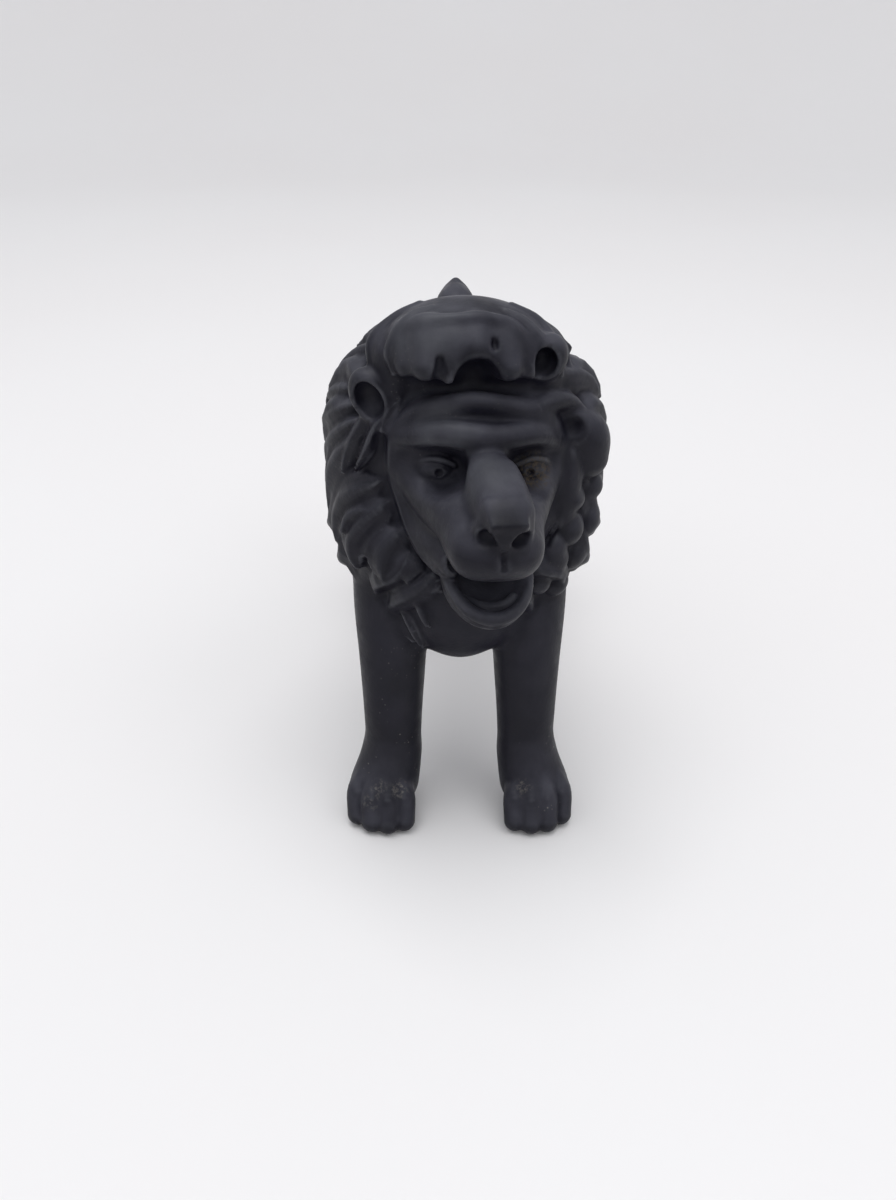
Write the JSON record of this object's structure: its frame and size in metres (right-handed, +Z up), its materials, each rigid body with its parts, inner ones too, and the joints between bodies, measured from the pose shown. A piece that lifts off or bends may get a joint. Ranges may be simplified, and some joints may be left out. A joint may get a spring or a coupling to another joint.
{
  "type": "lion statuette",
  "caption": "Black painted cast iron lion standing on all four paws, with a full mane, open mouth, head turned slightly to its left and arched tail.",
  "frame": {"origin": "centre of the footprint of the whole lion, at the level of the soles", "axes": "+Z up, the lion looks along -Y, +X to the lion's left, the side its head is turned to"},
  "size_m": [0.0736, 0.194, 0.146],
  "materials": {
    "black_paint": "satin black paint"
  },
  "bodies": {
    "root": {"lion": "black_paint"}
  },
  "joints": []
}
